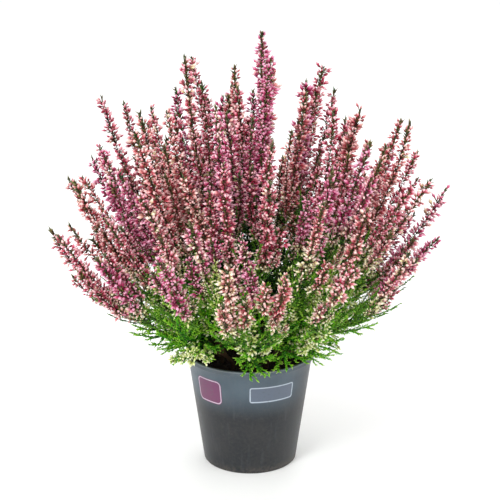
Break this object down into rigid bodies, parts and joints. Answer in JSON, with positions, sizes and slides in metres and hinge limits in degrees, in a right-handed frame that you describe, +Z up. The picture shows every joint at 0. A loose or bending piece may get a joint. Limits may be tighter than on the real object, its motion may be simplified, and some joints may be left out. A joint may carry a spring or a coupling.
{
  "type": "potted heather",
  "caption": "Bushy heather in a plain dark plastic grower's pot: leafy stems rise from the peat and end in slender spikes of closed pink buds.",
  "frame": {"origin": "centre of the pot's underside, on the surface that the pot stands on", "axes": "+Z up along the pot's axis, -Y towards the viewer of the plant's front, +X to that viewer's right"},
  "size_m": [0.3342, 0.3436, 0.3775],
  "materials": {
    "pot_plastic": "satin",
    "peat": "matte",
    "foliage": "matte",
    "buds_rose": "matte",
    "buds_magenta": "matte",
    "buds_blush": "matte"
  },
  "bodies": {
    "root": {"pot": "pot_plastic", "peat": "peat", "leafy_stem_01": "foliage", "leafy_stem_02": "foliage", "leafy_stem_03": "foliage", "leafy_stem_04": "foliage", "leafy_stem_05": "foliage", "leafy_stem_06": "foliage", "leafy_stem_07": "foliage", "leafy_stem_08": "foliage", "leafy_stem_09": "foliage", "leafy_stem_10": "foliage", "leafy_stem_11": "foliage", "leafy_stem_12": "foliage", "leafy_stem_13": "foliage", "leafy_stem_14": "foliage", "flower_spray_01": "buds_magenta", "flower_spray_02": "buds_blush", "flower_spray_03": "buds_rose", "flower_spray_04": "buds_blush", "flower_spray_05": "buds_rose", "flower_spray_06": "buds_magenta", "flower_spray_07": "buds_rose", "flower_spray_08": "buds_magenta", "flower_spray_09": "buds_blush", "flower_spray_10": "buds_magenta", "flower_spray_11": "buds_blush", "flower_spray_12": "buds_rose", "flower_spray_13": "buds_blush", "flower_spray_14": "buds_rose", "flower_spray_15": "buds_magenta", "flower_spray_16": "buds_rose", "flower_spray_17": "buds_magenta", "flower_spray_18": "buds_blush", "flower_spray_19": "buds_magenta", "flower_spray_20": "buds_blush", "flower_spray_21": "buds_rose", "flower_spray_22": "buds_blush", "flower_spray_23": "buds_rose", "flower_spray_24": "buds_magenta", "flower_spray_25": "buds_rose", "flower_spray_26": "buds_magenta", "flower_spray_27": "buds_blush", "flower_spray_28": "buds_magenta", "flower_spray_29": "buds_blush", "flower_spray_30": "buds_rose", "flower_spray_31": "buds_blush", "flower_spray_32": "buds_rose", "flower_spray_33": "buds_magenta", "flower_spray_34": "buds_rose", "flower_spray_35": "buds_magenta", "flower_spray_36": "buds_blush", "flower_spray_37": "buds_magenta", "flower_spray_38": "buds_blush", "flower_spray_39": "buds_rose", "flower_spray_40": "buds_blush", "flower_spray_41": "buds_rose", "flower_spray_42": "buds_magenta"}
  },
  "joints": []
}
